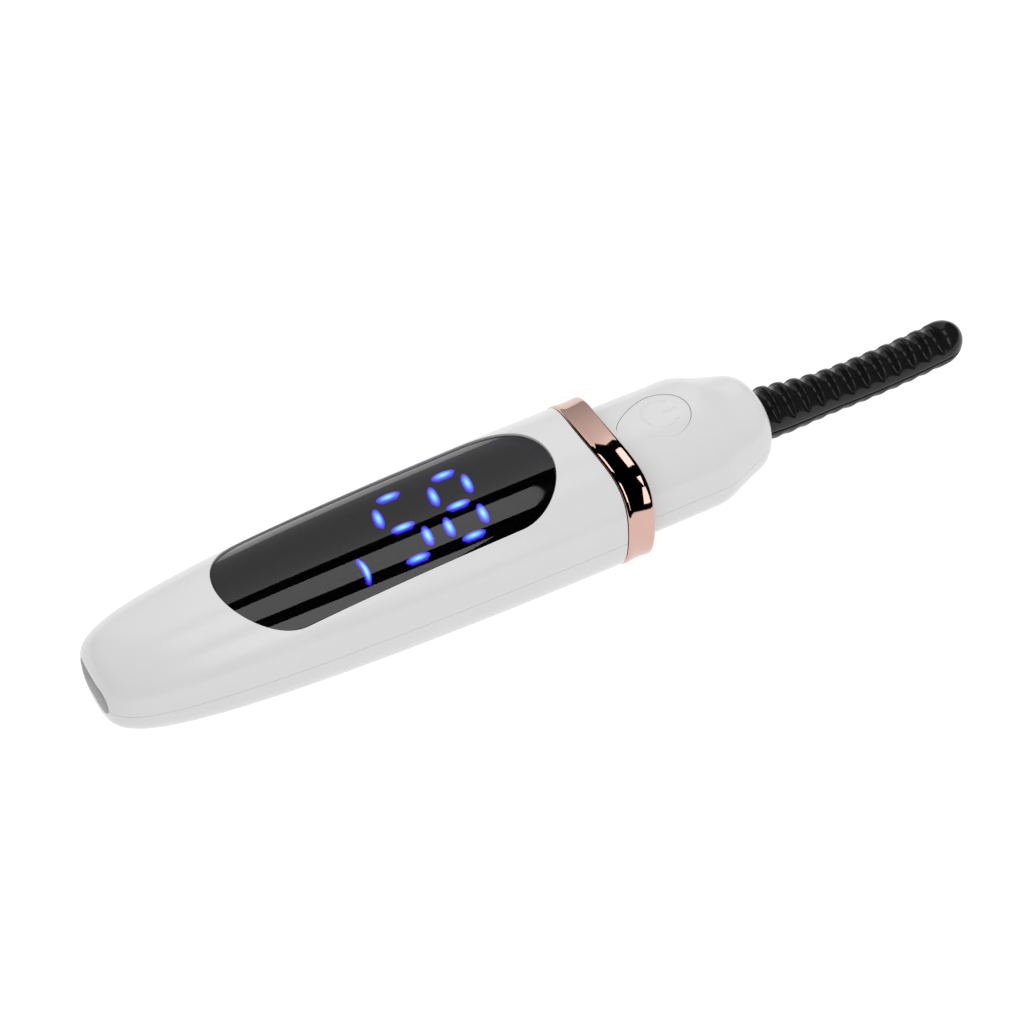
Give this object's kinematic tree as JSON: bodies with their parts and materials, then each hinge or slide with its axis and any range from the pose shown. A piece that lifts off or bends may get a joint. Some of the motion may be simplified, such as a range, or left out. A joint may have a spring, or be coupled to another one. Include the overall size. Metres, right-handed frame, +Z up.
{
  "type": "heated eyelash curler",
  "caption": "Pen-shaped heated eyelash curler with a smoked digital display window, a power button on its neck and a ribbed black comb wand.",
  "frame": {"origin": "middle of the object's length and width, on the flat strip under the handle that it lies on", "axes": "+X along the handle towards the comb's tip, +Y to the side that the digits' tops point to, +Z up through the window"},
  "size_m": [0.1364, 0.0248, 0.0201],
  "materials": {
    "white_abs": "smooth gloss moulding",
    "smoked_acrylic": "mirror-smooth smoked tint",
    "black_foam": "matt closed-cell foam",
    "rose_gold_plating": "bright rose-gold metallising",
    "comb_ceramic": "satin black ceramic coat",
    "comb_black_plastic": "satin heat-proof plastic",
    "black_plastic": "matt moulding",
    "chip_epoxy": "moulded package",
    "light_guide": "translucent diffuser",
    "plated_steel": "tin-plated stamping",
    "circuit_laminate": "green solder mask",
    "copper": "enamelled copper",
    "tantalum_case": "moulded capacitor case",
    "cell_foil": "laminated pouch foil",
    "aluminium_bar": "milled",
    "heater_polyimide": "amber film",
    "red_insulation": "silicone insulation",
    "black_insulation": "silicone insulation",
    "white_insulation": "glass-silicone insulation"
  },
  "bodies": {
    "handle": {"upper_shell": "white_abs", "lower_shell": "white_abs", "display_window": "smoked_acrylic", "window_gasket": "black_foam", "battery_foam": "black_foam", "trim_ring": "rose_gold_plating", "comb_cover": "comb_ceramic", "comb_base": "comb_black_plastic", "switch_housing": "black_plastic", "display_mask": "black_plastic", "display_housing": "black_plastic", "charge_port_tongue": "black_plastic", "wand_collar": "black_plastic", "controller_chip": "chip_epoxy", "charger_chip": "chip_epoxy", "heater_transistor": "chip_epoxy", "thermistor": "chip_epoxy", "digit_guide_tens": "light_guide", "digit_guide_units": "light_guide", "icon_guide": "light_guide", "switch_cover": "plated_steel", "board_screw_1": "plated_steel", "board_screw_2": "plated_steel", "charge_port_shell": "plated_steel", "main_board": "circuit_laminate", "led_board": "circuit_laminate", "battery_guard_board": "circuit_laminate", "boost_coil": "copper", "thermistor_lead_left": "copper", "thermistor_lead_right": "copper", "filter_capacitor": "tantalum_case", "battery_cell": "cell_foil", "heater_bar": "aluminium_bar", "heater_film": "heater_polyimide", "battery_lead_positive": "red_insulation", "battery_lead_negative": "black_insulation", "heater_lead_left": "white_insulation", "heater_lead_right": "white_insulation"},
    "button": {"power_button": "white_abs"},
    "plunger": {"switch_plunger": "black_plastic"}
  },
  "joints": [
    {"name": "button_press", "type": "slide", "parent": "handle", "child": "button", "axis": [0, 0, -1], "range_m": [0, 0.0003], "stiffness_N_per_m": 600, "springref_m": -0.001},
    {"name": "plunger_press", "type": "slide", "parent": "handle", "child": "plunger", "axis": [0, 0, -1], "range_m": [0, 0.0003], "stiffness_N_per_m": 60, "springref_m": -0.001}
  ],
  "couplings": [
    {"joint": "plunger_press", "follows": "button_press", "ratio": 1}
  ]
}
